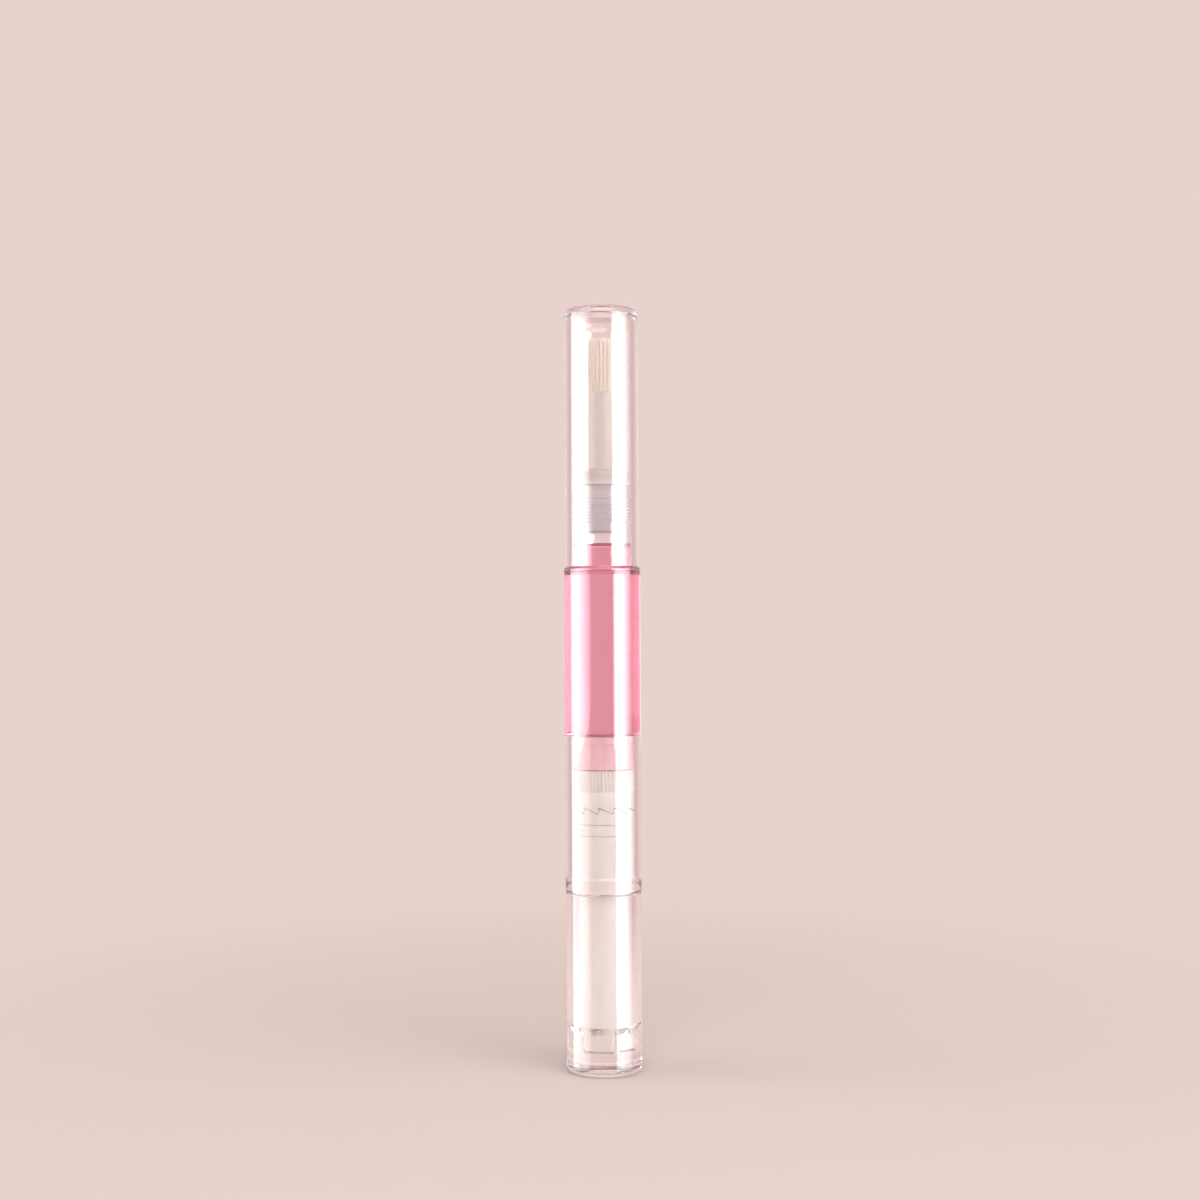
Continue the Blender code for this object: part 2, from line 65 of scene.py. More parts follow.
MM = 0.001
WELD = 0.001 * MM  # points nearer than this are one point
SOLID_GAP = 0.25 * MM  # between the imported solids, where the real pieces touch
RUNNING_ROOM = 0.25 * MM  # between the drive's pieces, where they slide or turn
EDGE = 0.15 * MM  # the usual bevel of a moulded edge
SHARP_ANGLE = math.radians(25)
SHELL_COLUMNS = 96

# A face longer than this across or along the axis gets a loop near each end, which keeps it looking flat.
LONG_ACROSS = 2 * MM
LONG_ALONG = 4 * MM
HOLD = 0.08 * MM  # how near such a loop is to the end

SHOULDER_SLOPE = 0.5 * MM  # the bevel between the barrel's bore and its shoulder
SNAP_RISE = 1.7 * MM  # from the barrel's rear end to its groove and to the core's bead
SNAP_FLANK = 0.25 * MM  # height of each sloping side of that groove and bead
RING_HEIGHT = 3.2 * MM  # of the click ring, below its teeth
RIB_TURNS = (45, 135)  # the core's ribs and the ring's grooves, in degrees
FLANK_SHARE = 0.07  # of a tooth's pitch, for its steep side
HEX_SIDES = 6
HEX_TURN = math.radians(13)  # how far the six sides stand off the front, as in the photograph
THREAD_FOOT_HALF = 0.42 * MM  # half the width of a thread where it starts
THREAD_STEPS = 64  # for one turn
HEAD_SHARE = 0.872  # the rod's snap head, as a share of the rod
DISH_DEPTH = 1.4 * MM  # of the piston's hollow front
LIP_WIDTH = 0.45 * MM  # of the piston's lip round it


def half_width(node):
    """Outside radius of a turned solid."""
    low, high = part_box(node)
    return (high.x - low.x) / 2


def linear(code):
    """An sRGB hex colour as linear red, green and blue."""
    parts = [int(code[place : place + 2], 16) / 255 for place in (1, 3, 5)]
    return [part / 12.92 if part <= 0.04045 else ((part + 0.055) / 1.055) ** 2.4 for part in parts]


def length(name, description, default):
    """A size that a user can change."""
    return bpy.props.FloatProperty(
        name=name,
        description=description,
        default=default,
        min=0.0,
        precision=5,
        unit="LENGTH",
        subtype="DISTANCE",
    )


def count(name, description, default):
    """A number of like features."""
    return bpy.props.IntProperty(name=name, description=description, default=default, min=1)


def colour(name, description, code):
    """A colour that a user can change."""
    return bpy.props.FloatVectorProperty(
        name=name, description=description, default=linear(code), min=0.0, max=1.0, size=3, subtype="COLOR"
    )


class ShellSizes(bpy.types.PropertyGroup):
    """Walls and edges of the three clear mouldings."""

    snug: length("Snug gap", "Air left between mouldings that touch", 0.06 * MM)
    core_gap: length("Core gap", "Air between the core and the knob's bore", 0.25 * MM)
    barrel_wall: length("Barrel wall", "Thickness of the barrel's wall", 1.0 * MM)
    shoulder_wall: length("Shoulder wall", "Thickness of the barrel's shoulder", 0.6 * MM)
    neck_radius: length("Neck radius", "Outside of the barrel's neck", 4.25 * MM)
    neck_wall: length("Neck wall", "Thickness of the neck's wall", 0.6 * MM)
    neck_length: length("Neck length", "Height of the neck above the shoulder", 12.1 * MM)
    groove_depth: length("Groove depth", "Depth of the snap groove in the barrel", 0.1 * MM)
    cap_wall: length("Cap wall", "Thickness of the cap's wall", 1.0 * MM)
    cap_end_wall: length("Cap end", "Thickness of the cap's closed end", 1.1 * MM)
    cap_draft: length("Cap draft", "How much narrower the cap is at its end", 0.1 * MM)
    knob_wall: length("Knob wall", "Thickness of the knob's wall", 1.8 * MM)
    knob_end_wall: length("Knob end", "Thickness of the knob's closed end", 3.4 * MM)
    socket_radius: length("Socket radius", "Corner radius of the knob's six-sided socket", 3.62 * MM)
    dimple_radius: length("Gate dimple", "Radius of the dimple round the knob's gate mark", 1.7 * MM)
    end_round: length("End round", "Rounding of the closed ends", 1.1 * MM)


class DriveSizes(bpy.types.PropertyGroup):
    """The screw drive and the ratchet."""

    screw_lead: length("Screw lead", "How far the rod climbs in one turn", 2.0 * MM)
    rod_radius: length("Rod radius", "The rod at the root of its thread", 2.05 * MM)
    rod_flat: length("Rod flat", "From the axis to each of the rod's flats", 1.734 * MM)
    thread_height: length("Thread height", "Height of the rod's thread over its root", 0.4 * MM)
    collar_radius: length("Collar radius", "The core's collar inside the click ring", 3.4 * MM)
    tooth_count: count("Teeth", "Ratchet teeth round the seam", 14)
    tooth_height: length("Tooth height", "Height of a ratchet tooth", 0.9 * MM)
    spline_depth: length("Spline depth", "Depth of the grooves round the nut sleeve", 0.34 * MM)
    slot_height: length("Spring slot", "Height of the slots that let the click ring give", 0.06 * MM)
    rib_width: length("Rib width", "Width of the ribs that turn the click ring", 0.9 * MM)
    spigot_radius: length("Spigot radius", "Corner radius of the core's six-sided spigot", 3.5 * MM)


class BrushSizes(bpy.types.PropertyGroup):
    """The brush and its holder."""

    stem_radius: length("Stem radius", "Outside of the stem", 2.0 * MM)
    feed_radius: length("Feed radius", "Radius of the channel that feeds the brush", 0.64 * MM)
    seal_count: count("Seals", "Sealing rings round the plug", 8)
    strand_pitch: length("Strand pitch", "Distance between neighbouring filaments", 0.13 * MM)
    strand_radius: length("Strand radius", "Half the thickness of a filament", 0.05 * MM)


class Finishes(bpy.types.PropertyGroup):
    """Colours of the pen, and of the stage round it."""

    clear: colour("Clear plastic", "Faint tint of the clear mouldings", "#FEFBFD")
    oil: colour("Oil", "Tint of the oil across the whole bore", "#F9AEC6")
    milky: colour("Milky plastic", "The screw drive's plastic", "#F5F3ED")
    holder: colour("Holder plastic", "The brush holder's plastic", "#D2CBC3")
    piston: colour("Piston plastic", "The piston's soft plastic", "#F8CFD3")
    nylon: colour("Nylon", "The brush filaments", "#F8F2E6")
    backdrop: colour("Backdrop", "The floor and the backdrop, as they look", "#E8D2CC")
    panel: colour("Side panels", "The darker panels that the clear walls show at their edges", "#D6B8B5")
    paint: colour("Floor paint", "The floor's paint, which the lamps bring up to the backdrop", "#CFBFBA")


def outline_mesh(outline, steps):
    """A wire outline of (radius, height) points. A third value is how far back a corner is rounded."""
    mesh = bmesh.new()
    verts = [mesh.verts.new((point[0], 0, point[1])) for point in outline]
    for pair in zip(verts, verts[1:]):
        mesh.edges.new(pair)
    if outline[0][0] > 0:
        mesh.edges.new((verts[-1], verts[0]))
    for vert, point in zip(verts, outline):
        if len(point) > 2:
            bmesh.ops.bevel(
                mesh,
                geom=[vert],
                offset=point[2],
                offset_type="OFFSET",
                segments=steps,
                profile=0.5,
                affect="VERTICES",
                material=-1,
            )
    for edge in mesh.edges[:]:
        first, last = (vert.co for vert in edge.verts)
        if abs(first.x - last.x) > LONG_ACROSS or abs(first.z - last.z) > LONG_ALONG:
            for vert in edge.verts[:]:
                bmesh.utils.edge_split(edge, vert, HOLD / edge.calc_length())
    return mesh


def turned(outline, columns=SHELL_COLUMNS, steps=4):
    """A closed body turned round the pen's axis."""
    mesh = outline_mesh(outline, steps)
    bmesh.ops.spin(
        mesh,
        geom=mesh.verts[:] + mesh.edges[:],
        cent=(0, 0, 0),
        axis=(0, 0, 1),
        dvec=(0, 0, 0),
        angle=math.tau,
        steps=columns,
        use_merge=True,
    )
    bmesh.ops.remove_doubles(mesh, verts=mesh.verts, dist=WELD)
    bmesh.ops.recalc_face_normals(mesh, faces=mesh.faces)
    return mesh


def screw_ridge(foot, crest, crest_half, low, rise, lead):
    """A right-handed thread ridge between two radii, swept up from a height."""
    mesh = bmesh.new()
    profile = [
        (foot, -THREAD_FOOT_HALF),
        (crest, -crest_half),
        (crest, crest_half),
        (foot, THREAD_FOOT_HALF),
    ]
    verts = [mesh.verts.new((radius, 0, low + height)) for radius, height in profile]
    edges = [mesh.edges.new(pair) for pair in zip(verts, verts[1:] + verts[:1])]
    mesh.faces.new(verts)
    steps = round(rise / lead * THREAD_STEPS)
    swept = bmesh.ops.spin(
        mesh,
        geom=verts + edges,
        cent=(0, 0, 0),
        axis=(0, 0, 1),
        dvec=(0, 0, lead / THREAD_STEPS),
        angle=math.tau * steps / THREAD_STEPS,
        steps=steps,
        use_merge=False,
    )
    last = [item for item in swept["geom_last"] if isinstance(item, bmesh.types.BMVert)]
    bmesh.ops.contextual_create(mesh, geom=last)
    bmesh.ops.remove_doubles(mesh, verts=mesh.verts, dist=WELD)
    bmesh.ops.recalc_face_normals(mesh, faces=mesh.faces)
    return mesh


def box_mesh(length_x, length_y, low, high, turn=0.0):
    """A flat bar across the axis, between two heights."""
    mesh = bmesh.new()
    place = Matrix.Rotation(turn, 4, "Z") @ Matrix.Translation((0, 0, (low + high) / 2))
    size = Matrix.Diagonal((length_x, length_y, high - low, 1))
    bmesh.ops.create_cube(mesh, size=1.0, matrix=place @ size)
    return mesh


def to_hexagon(mesh, radius, low, high, fade):
    """Brings a round wall between two heights onto a hexagon with that corner radius, faded out above."""
    half = math.pi / HEX_SIDES
    near = 0.1 * radius  # only the wall's own points lie this near to it
    for vert in mesh.verts:
        size = math.hypot(vert.co.x, vert.co.y)
        if low - WELD < vert.co.z < high + fade and abs(size - radius) < near:
            angle = (math.atan2(vert.co.y, vert.co.x) + HEX_TURN) % (2 * half) - half
            share = math.cos(half) / math.cos(angle)
            share += (1 - share) * max(0, (vert.co.z - high) / fade)
            vert.co.x *= share
            vert.co.y *= share


def cut_teeth(mesh, base, columns_per_tooth, turn, sizes):
    """Shapes the end at a height into teeth, which fall slowly to the right and jump back."""
    pitch = math.tau / sizes.tooth_count
    columns = columns_per_tooth * sizes.tooth_count
    for vert in mesh.verts:
        if abs(vert.co.z - base) < WELD:
            column = round(math.atan2(vert.co.y, vert.co.x) / math.tau * columns)
            tooth, step = divmod(column, columns_per_tooth)
            share = step / (columns_per_tooth - 1)
            angle = (tooth + share * (1 - FLANK_SHARE)) * pitch + turn
            radius = math.hypot(vert.co.x, vert.co.y)
            vert.co.x = radius * math.cos(angle)
            vert.co.y = radius * math.sin(angle)
            vert.co.z = base + sizes.tooth_height * (1 - share)


def add_piece(name, mesh, material, body, *nodes, slot):
    """Makes an object of the mesh, which stands for CAD nodes and moves with a CAD body."""
    data = bpy.data.meshes.new(name)
    mesh.to_mesh(data)
    mesh.free()
    data.shade_smooth()
    data.set_sharp_from_angle(angle=SHARP_ANGLE)
    data.materials.append(material)
    made = bpy.data.objects.new(name, data)
    bpy.context.scene.collection.objects.link(made)
    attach(made, body)
    if nodes:
        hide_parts(*nodes)
    return made


def reshape(mesh, operation, tools):
    """Adds tool shapes to a mesh or cuts them out of it, and returns the new mesh."""
    made = []
    for name, shape in [("work", mesh), *[("tool", tool) for tool in tools]]:
        data = bpy.data.meshes.new(name)
        shape.to_mesh(data)
        shape.free()
        made.append(bpy.data.objects.new(name, data))
        bpy.context.scene.collection.objects.link(made[-1])
    for tool in made[1:]:
        modifier = made[0].modifiers.new(tool.name, "BOOLEAN")
        modifier.operation = operation
        modifier.solver = "EXACT"
        modifier.object = tool
    graph = bpy.context.evaluated_depsgraph_get()
    result = bmesh.new()
    result.from_object(made[0], graph)
    for part in made:
        data = part.data
        bpy.data.objects.remove(part, do_unlink=True)
        bpy.data.meshes.remove(data)
    bmesh.ops.remove_doubles(result, verts=result.verts, dist=WELD / 10)
    return result


def add_node(tree, kind, settings=None, **inputs):
    """Adds a node with its settings, and sets or links its inputs."""
    node = tree.nodes.new(kind)
    for name, value in (settings or {}).items():
        setattr(node, name, value)
    for name, value in inputs.items():
        numbered = name[0] == "i" and name[1:].isdigit()
        socket = node.inputs[int(name[1:]) if numbered else name.replace("_", " ")]
        if isinstance(value, bpy.types.NodeSocket):
            tree.links.new(value, socket)
        else:
            socket.default_value = value
    return node


def new_material(name, **settings):
    """A material with a Principled BSDF, and its node tree and shader."""
    material = bpy.data.materials.new(name)
    material.use_nodes = True
    shader = material.node_tree.nodes["Principled BSDF"]
    for label, value in settings.items():
        shader.inputs[label.replace("_", " ")].default_value = value
    return material, material.node_tree, shader


def clouds(tree, across_mm, along_mm, detail):
    """Soft clouds of a real size in millimetres, across the pen and along it."""
    place = add_node(tree, "ShaderNodeTexCoord")
    scale = (1 / (across_mm * MM), 1 / (across_mm * MM), 1 / (along_mm * MM))
    stretch = add_node(tree, "ShaderNodeMapping", Vector=place.outputs["Object"], Scale=scale)
    return add_node(tree, "ShaderNodeTexNoise", Vector=stretch.outputs[0], Scale=1.0, Detail=detail)


def flow_marks(tree, shader, across_mm, along_mm, depth_mm, strength):
    """Shallow waves that run with the melt along a moulding, as a bump."""
    waves = clouds(tree, across_mm, along_mm, detail=2.0)
    bump = add_node(
        tree, "ShaderNodeBump", Height=waves.outputs[0], Distance=depth_mm * MM, Strength=strength
    )
    tree.links.new(bump.outputs[0], shader.inputs["Normal"])
    return waves


def plainly_seen(tree, rays):
    """1 for a ray that comes from the camera, off gloss or through glass, and from no diffuse surface."""
    seen = rays.outputs["Is Camera Ray"]
    for kind in ("Is Transmission Ray", "Is Glossy Ray"):
        either = add_node(
            tree, "ShaderNodeMath", {"operation": "MAXIMUM"}, i0=seen, i1=rays.outputs[kind]
        )
        seen = either.outputs[0]
    direct = add_node(
        tree, "ShaderNodeMath", {"operation": "LESS_THAN"}, i0=rays.outputs["Diffuse Depth"], i1=0.5
    )
    both = add_node(tree, "ShaderNodeMath", {"operation": "MULTIPLY"}, i0=seen, i1=direct.outputs[0])
    return both.outputs[0]


def clear_styrenic(name, tint):
    """Clear styrene plastic, injection moulded in a polished mould."""
    # It bends light strongly, so its walls show as bright and dark lines, and the slow waves that the
    # melt leaves along the moulding make those lines waver a little.
    material, tree, shader = new_material(
        name, Base_Color=(*tint, 1), Roughness=0.02, IOR=1.57, Transmission_Weight=1.0
    )
    flow_marks(tree, shader, across_mm=3.0, along_mm=9.0, depth_mm=0.02, strength=0.35)
    return material


def milky_resin(name, tint, roughness, glow):
    """Unpigmented polypropylene or a like resin, as moulded, with a satin skin."""
    # Light goes a little way in, so it looks milky and soft-edged, and the skin is faintly clouded along
    # the flow of the melt.
    material, tree, shader = new_material(
        name, Roughness=roughness, IOR=1.49, Subsurface_Weight=glow, Subsurface_Scale=0.6 * MM
    )
    shader.inputs["Subsurface Radius"].default_value = (1.0, 0.9, 0.85)
    darker = 0.94
    lighter = 1.05
    waves = flow_marks(tree, shader, across_mm=1.2, along_mm=4.0, depth_mm=0.01, strength=0.5)
    cloud = add_node(
        tree,
        "ShaderNodeMix",
        {"data_type": "RGBA"},
        Factor=waves.outputs[0],
        i6=(*[part * darker for part in tint], 1),
        i7=(*[min(1, part * lighter) for part in tint], 1),
    )
    tree.links.new(cloud.outputs[2], shader.inputs["Base Color"])
    return material


class PEN_OT_cap(bpy.types.Operator):
    """Make the clear cap"""

    bl_idname = "pen.cap"
    bl_label = "Cap"

    def execute(self, context):
        sizes = context.scene.pen_shells
        low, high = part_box("cap")
        outside = half_width("cap")
        bore = outside - sizes.cap_wall
        ceiling = high.z - sizes.cap_end_wall
        rim = low.z - SOLID_GAP + sizes.snug
        gate = 0.7 * MM
        gate_floor = high.z - 0.12 * MM
        outline = [
            (0, ceiling),
            (bore, ceiling, 0.7 * MM),
            (bore, rim + EDGE),
            (bore + EDGE, rim),
            (outside, rim, 0.12 * MM),
            (outside - sizes.cap_draft, high.z, sizes.end_round),
            (gate, high.z, 0.1 * MM),
            (gate - EDGE, gate_floor, 0.05 * MM),
            (0, gate_floor),
        ]
        clear = clear_styrenic("clear moulded styrene cap", context.scene.pen_finishes.clear)
        add_piece("cap_shell", turned(outline), clear, "cap", "cap", slot="clear_shell")
        return {"FINISHED"}


class PEN_OT_barrel(bpy.types.Operator):
    """Make the clear barrel with its shoulder and neck"""

    bl_idname = "pen.barrel"
    bl_label = "Barrel"

    def execute(self, context):
        sizes = context.scene.pen_shells
        low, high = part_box("barrel")
        outside = half_width("barrel")
        bore = outside - sizes.barrel_wall
        shoulder = high.z - sizes.neck_length
        bore_top = shoulder - sizes.shoulder_wall
        neck_bore = sizes.neck_radius - sizes.neck_wall
        groove_low = low.z + SNAP_RISE
        groove_high = groove_low + 0.8 * MM
        groove_floor = bore + sizes.groove_depth
        outline = [
            (bore + EDGE, low.z),
            (bore, low.z + EDGE),
            (bore, groove_low),
            (groove_floor, groove_low + SNAP_FLANK),
            (groove_floor, groove_high - SNAP_FLANK),
            (bore, groove_high),
            (bore, bore_top - SHOULDER_SLOPE),
            (bore - SHOULDER_SLOPE, bore_top, EDGE),
            (neck_bore, bore_top, EDGE),
            (neck_bore, high.z, 0.12 * MM),
            (sizes.neck_radius, high.z, 0.12 * MM),
            (sizes.neck_radius, shoulder, 0.1 * MM),
            (outside, shoulder, 0.3 * MM),
            (outside, low.z, EDGE),
        ]
        clear = clear_styrenic("clear moulded styrene barrel", context.scene.pen_finishes.clear)
        add_piece("barrel_shell", turned(outline), clear, "barrel", "barrel", slot="clear_shell")
        return {"FINISHED"}


class PEN_OT_knob(bpy.types.Operator):
    """Make the clear knob with its six-sided socket"""

    bl_idname = "pen.knob"
    bl_label = "Knob"

    def execute(self, context):
        sizes = context.scene.pen_shells
        low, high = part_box("knob")
        outside = half_width("knob")
        bore = outside - sizes.knob_wall
        floor = low.z + sizes.knob_end_wall
        socket_top = floor + 2.6 * MM
        taper_top = socket_top + 1.15 * MM
        rim = high.z + SOLID_GAP - sizes.snug
        dimple = sizes.dimple_radius
        dimple_slope = 0.3 * MM
        dimple_floor = low.z + 0.4 * MM
        gate_foot = 0.45 * MM
        gate_tip = 0.35 * MM
        gate_end = low.z + 0.2 * MM
        outline = [
            (0, floor),
            (sizes.socket_radius, floor),
            (sizes.socket_radius, socket_top),
            (bore, taper_top, EDGE),
            (bore, rim - EDGE),
            (bore + EDGE, rim),
            (outside, rim, EDGE),
            (outside, low.z, 1.0 * MM),
            (dimple, low.z, 0.1 * MM),
            (dimple - dimple_slope, dimple_floor, EDGE),
            (gate_foot, dimple_floor),
            (gate_tip, gate_end, 0.05 * MM),
            (0, gate_end),
        ]
        mesh = turned(outline)
        to_hexagon(mesh, sizes.socket_radius, floor, socket_top, taper_top - socket_top)
        clear = clear_styrenic("clear moulded styrene knob", context.scene.pen_finishes.clear)
        add_piece("knob_shell", mesh, clear, "knob", "knob", slot="clear_shell")
        return {"FINISHED"}


class PEN_OT_drive_core(bpy.types.Operator):
    """Make the milky core that the knob turns"""

    bl_idname = "pen.drive_core"
    bl_label = "Drive Core"

    def execute(self, context):
        drive = context.scene.pen_drive
        shells = context.scene.pen_shells
        low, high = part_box("drive_core")
        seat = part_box("barrel")[0].z
        ring_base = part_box("click_ring")[0].z
        shoulder = ring_base - shells.snug
        key_low = ring_base - 1.6 * MM
        inner = half_width("barrel") - shells.barrel_wall - shells.snug
        tail = half_width("knob") - shells.knob_wall - shells.core_gap
        bead_low = seat + SNAP_RISE
        bead_high = bead_low + 0.75 * MM
        bead_crest = inner + shells.groove_depth
        spigot_top = low.z + 2.3 * MM
        taper = 1.2 * MM
        key = drive.rod_flat + RUNNING_ROOM
        bore = drive.rod_radius + drive.thread_height + 0.4 * MM
        vent = 0.8 * MM
        floor = low.z + 3.85 * MM
        outline = [
            (vent, low.z),
            (drive.spigot_radius, low.z),
            (drive.spigot_radius, spigot_top),
            (tail, spigot_top + taper, EDGE),
            (tail, seat),
            (inner, seat, 0.12 * MM),
            (inner, bead_low),
            (bead_crest, bead_low + SNAP_FLANK),
            (bead_crest, bead_high - SNAP_FLANK),
            (inner, bead_high),
            (inner, shoulder, 0.06 * MM),
            (drive.collar_radius, shoulder),
            (drive.collar_radius, high.z, 0.3 * MM),
            (key, high.z),
            (key, key_low),
            (bore, key_low),
            (bore, floor),
            (vent, floor),
        ]
        mesh = turned(outline)
        to_hexagon(mesh, drive.spigot_radius, low.z, spigot_top, taper)
        rib_length = 2 * (drive.collar_radius + 0.45 * MM)
        rib_low = shoulder - 0.2 * MM
        rib_high = ring_base + RING_HEIGHT
        ribs = [
            box_mesh(rib_length, drive.rib_width, rib_low, rib_high, math.radians(turn))
            for turn in RIB_TURNS
        ]
        mesh = reshape(mesh, "UNION", ribs)
        slot_length = 2 * (drive.rod_radius + drive.thread_height + RUNNING_ROOM)
        slot = box_mesh(slot_length, 2 * key, key_low - 0.01 * MM, high.z + MM)
        mesh = reshape(mesh, "DIFFERENCE", [slot])
        tint = context.scene.pen_finishes.milky
        milky = milky_resin("moulded polypropylene core", tint, roughness=0.38, glow=0.35)
        add_piece("core_tube", mesh, milky, "knob", "drive_core", slot="milky_core")
        return {"FINISHED"}


class PEN_OT_ratchet(bpy.types.Operator):
    """Make the click ring and the nut sleeve, whose teeth meet"""

    bl_idname = "pen.ratchet"
    bl_label = "Ratchet"

    def execute(self, context):
        drive = context.scene.pen_drive
        shells = context.scene.pen_shells
        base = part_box("click_ring")[0].z
        valley = base + RING_HEIGHT
        crest = valley + drive.tooth_height
        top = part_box("nut_sleeve")[1].z
        bore = half_width("barrel") - shells.barrel_wall
        ring_radius = bore - shells.snug
        sleeve_radius = bore - shells.snug / 2
        ring_bore = drive.collar_radius + RUNNING_ROOM
        turn = math.radians(5.6)  # the teeth stand as in the photograph
        # Natural acetal, which slides well on itself, is as white as the core and a touch glossier.
        tint = context.scene.pen_finishes.milky
        milky = milky_resin("moulded acetal ratchet", tint, roughness=0.34, glow=0.3)
        ring_columns = 8
        ring = turned(
            [(ring_bore, valley), (ring_radius, valley), (ring_radius, base), (ring_bore, base)],
            ring_columns * drive.tooth_count,
        )
        cut_teeth(ring, valley, ring_columns, turn, drive)
        groove_length = 2 * (drive.collar_radius + 0.7 * MM)
        groove_width = drive.rib_width + 0.5 * MM
        grooves = [
            box_mesh(groove_length, groove_width, base - MM, crest + MM, math.radians(angle))
            for angle in RIB_TURNS
        ]
        # Each level is cut nearly all round and leaves two bridges, a quarter turn on from the other's.
        slot_length = 12 * MM
        slot_width = 7.8 * MM
        slots = []
        for number, rise in enumerate((0.75 * MM, 1.6 * MM)):
            low = base + rise
            quarter = number * math.pi / 2
            slots.append(box_mesh(slot_length, slot_width, low, low + drive.slot_height, quarter))
        ring = reshape(ring, "DIFFERENCE", grooves + slots)
        add_piece("click_ring_fine", ring, milky, "knob", "click_ring", slot="milky_core")

        sleeve_columns = 16
        backlash = shells.snug / ring_radius
        slope = drive.tooth_height / (math.tau / drive.tooth_count * (1 - FLANK_SHARE))
        foot = valley + 2 * shells.snug + slope * backlash
        spline_low = top - 3.2 * MM
        spline_start = 0.3 * MM
        thread_bore = drive.rod_radius + drive.thread_height + RUNNING_ROOM
        recess = crest + 0.9 * MM
        outline = [
            (ring_bore, foot),
            (sleeve_radius, foot),
            (sleeve_radius, spline_low),
            (sleeve_radius, spline_low + spline_start),
            (sleeve_radius, top - EDGE),
            (sleeve_radius - EDGE, top),
            (thread_bore, top),
            (thread_bore, recess),
            (ring_bore, recess),
        ]
        columns = sleeve_columns * drive.tooth_count
        sleeve = turned(outline, columns)
        wave = (0, 0.5, 1, 0.5)
        skin = sleeve_radius - 0.2 * MM
        for vert in sleeve.verts:
            radius = math.hypot(vert.co.x, vert.co.y)
            if vert.co.z > spline_low + WELD and radius > skin:
                column = round(math.atan2(vert.co.y, vert.co.x) / math.tau * columns)
                scale = 1 - drive.spline_depth * wave[column % len(wave)] / radius
                vert.co.x *= scale
                vert.co.y *= scale
        cut_teeth(sleeve, foot, sleeve_columns, turn - backlash, drive)
        add_piece("nut_sleeve_fine", sleeve, milky, "barrel", "nut_sleeve", slot="milky_core")
        thread_end = 0.5 * MM
        thread = screw_ridge(
            foot=thread_bore + 0.1 * MM,
            crest=drive.rod_radius + RUNNING_ROOM,
            crest_half=0.22 * MM,
            low=recess + thread_end,
            rise=top - recess - 2 * thread_end,
            lead=drive.screw_lead,
        )
        add_piece("nut_thread", thread, milky, "barrel", slot="milky_core")
        return {"FINISHED"}


class PEN_OT_screw_rod(bpy.types.Operator):
    """Make the threaded rod with its two flats and its snap head"""

    bl_idname = "pen.screw_rod"
    bl_label = "Screw Rod"

    def execute(self, context):
        drive = context.scene.pen_drive
        low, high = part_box("screw_rod")
        root = drive.rod_radius
        shaft_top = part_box("piston")[0].z - SOLID_GAP
        head = high.z - 1.5 * MM
        head_radius = root * HEAD_SHARE
        neck_radius = root * 0.59
        outline = [
            (0, low.z),
            (root, low.z, 0.4 * MM),
            (root, shaft_top),
            (neck_radius, shaft_top),
            (neck_radius, head),
            (head_radius, head, 0.1 * MM),
            (head_radius, high.z, 0.45 * MM),
            (0, high.z),
        ]
        tint = context.scene.pen_finishes.milky
        milky = milky_resin("moulded polypropylene rod", tint, roughness=0.36, glow=0.3)
        rod = turned(outline)
        thread_end = 1.0 * MM
        thread = screw_ridge(
            foot=root - 0.1 * MM,
            crest=root + drive.thread_height,
            crest_half=0.2 * MM,
            low=low.z + thread_end,
            rise=shaft_top - low.z - 2 * thread_end,
            lead=drive.screw_lead,
        )
        for vert in rod.verts[:] + thread.verts[:]:
            if vert.co.z < shaft_top + WELD:
                vert.co.y = max(-drive.rod_flat, min(drive.rod_flat, vert.co.y))
        add_piece("rod_shaft", rod, milky, "rod", "screw_rod", slot="milky_core")
        add_piece("rod_thread", thread, milky, "rod", slot="milky_core")
        return {"FINISHED"}


class PEN_OT_piston(bpy.types.Operator):
    """Make the soft piston"""

    bl_idname = "pen.piston"
    bl_label = "Piston"

    def execute(self, context):
        shells = context.scene.pen_shells
        low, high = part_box("piston")
        rear = low.z - SOLID_GAP + 1.5 * shells.snug
        outside = half_width("barrel") - shells.barrel_wall - 0.01 * MM
        waist = outside - 0.16 * MM
        head = context.scene.pen_drive.rod_radius * HEAD_SHARE
        socket = head + 0.1 * MM
        socket_top = low.z + 2.75 * MM
        mouth = head - 0.45 * MM
        mouth_top = low.z + 0.85 * MM
        rear_lip_top = low.z + 0.75 * MM
        waist_low = low.z + 1.1 * MM
        waist_high = high.z - 1.5 * MM
        front_lip_low = high.z - 1.0 * MM
        dish = outside - 0.7 * MM
        dish_floor = high.z - DISH_DEPTH
        outline = [
            (0, socket_top),
            (socket, socket_top),
            (socket, mouth_top),
            (mouth, mouth_top),
            (mouth, rear),
            (outside, rear, EDGE),
            (outside, rear_lip_top, 0.1 * MM),
            (waist, waist_low, EDGE),
            (waist, waist_high, EDGE),
            (outside, front_lip_low, 0.1 * MM),
            (outside, high.z, 0.1 * MM),
            (outside - LIP_WIDTH, high.z, EDGE),
            (dish, dish_floor, 0.2 * MM),
            (0, dish_floor),
        ]
        # Soft polyethylene has a waxy skin that the oil has tinged, so it is pinker and duller.
        tint = context.scene.pen_finishes.piston
        soft = milky_resin("moulded soft polyethylene piston", tint, roughness=0.45, glow=0.4)
        add_piece("piston_fine", turned(outline), soft, "piston", "piston", slot="soft_piston")
        return {"FINISHED"}


